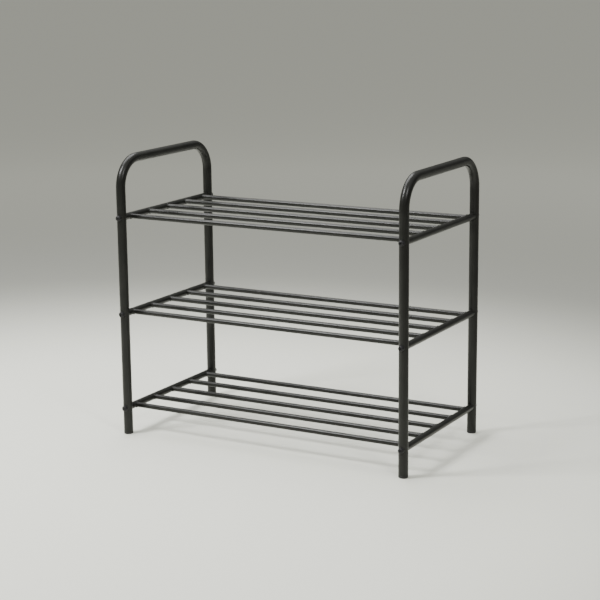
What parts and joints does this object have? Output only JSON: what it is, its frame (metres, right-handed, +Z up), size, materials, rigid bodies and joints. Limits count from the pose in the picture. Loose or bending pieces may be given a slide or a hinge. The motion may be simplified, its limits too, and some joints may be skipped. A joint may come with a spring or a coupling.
{
  "type": "tiered shoe rack",
  "caption": "Free-standing tiered shoe rack of black powder-coated steel tube: bent side frames with handle bars, joined by slatted shelves bolted through the legs.",
  "frame": {"origin": "on the floor, at the middle of the rack's footprint", "axes": "+X along the shelves to the right, +Y to the rear, +Z up"},
  "size_m": [0.748, 0.412, 0.667],
  "materials": {
    "black_powder_coat": "satin black powder coat with fine orange peel",
    "black_plastic": "moulded black polyethylene, matte",
    "black_zinc_steel": "black zinc-plated steel, semi-gloss",
    "plain_steel": "bright zinc-plated steel"
  },
  "bodies": {
    "root": {"side_frame_left": "black_powder_coat", "foot_front_left": "black_plastic", "foot_rear_left": "black_plastic", "side_frame_right": "black_powder_coat", "foot_front_right": "black_plastic", "foot_rear_right": "black_plastic", "bottom_rail_left": "black_powder_coat", "bottom_rail_right": "black_powder_coat", "bottom_slat_1": "black_powder_coat", "bottom_slat_2": "black_powder_coat", "bottom_slat_3": "black_powder_coat", "bottom_slat_4": "black_powder_coat", "bottom_slat_5": "black_powder_coat", "bottom_bolts": "black_zinc_steel", "bottom_saddle_washers": "black_plastic", "bottom_rail_plugs": "plain_steel", "middle_rail_left": "black_powder_coat", "middle_rail_right": "black_powder_coat", "middle_slat_1": "black_powder_coat", "middle_slat_2": "black_powder_coat", "middle_slat_3": "black_powder_coat", "middle_slat_4": "black_powder_coat", "middle_slat_5": "black_powder_coat", "middle_bolts": "black_zinc_steel", "middle_saddle_washers": "black_plastic", "middle_rail_plugs": "plain_steel", "top_rail_left": "black_powder_coat", "top_rail_right": "black_powder_coat", "top_slat_1": "black_powder_coat", "top_slat_2": "black_powder_coat", "top_slat_3": "black_powder_coat", "top_slat_4": "black_powder_coat", "top_slat_5": "black_powder_coat", "top_bolts": "black_zinc_steel", "top_saddle_washers": "black_plastic", "top_rail_plugs": "plain_steel"}
  },
  "joints": []
}
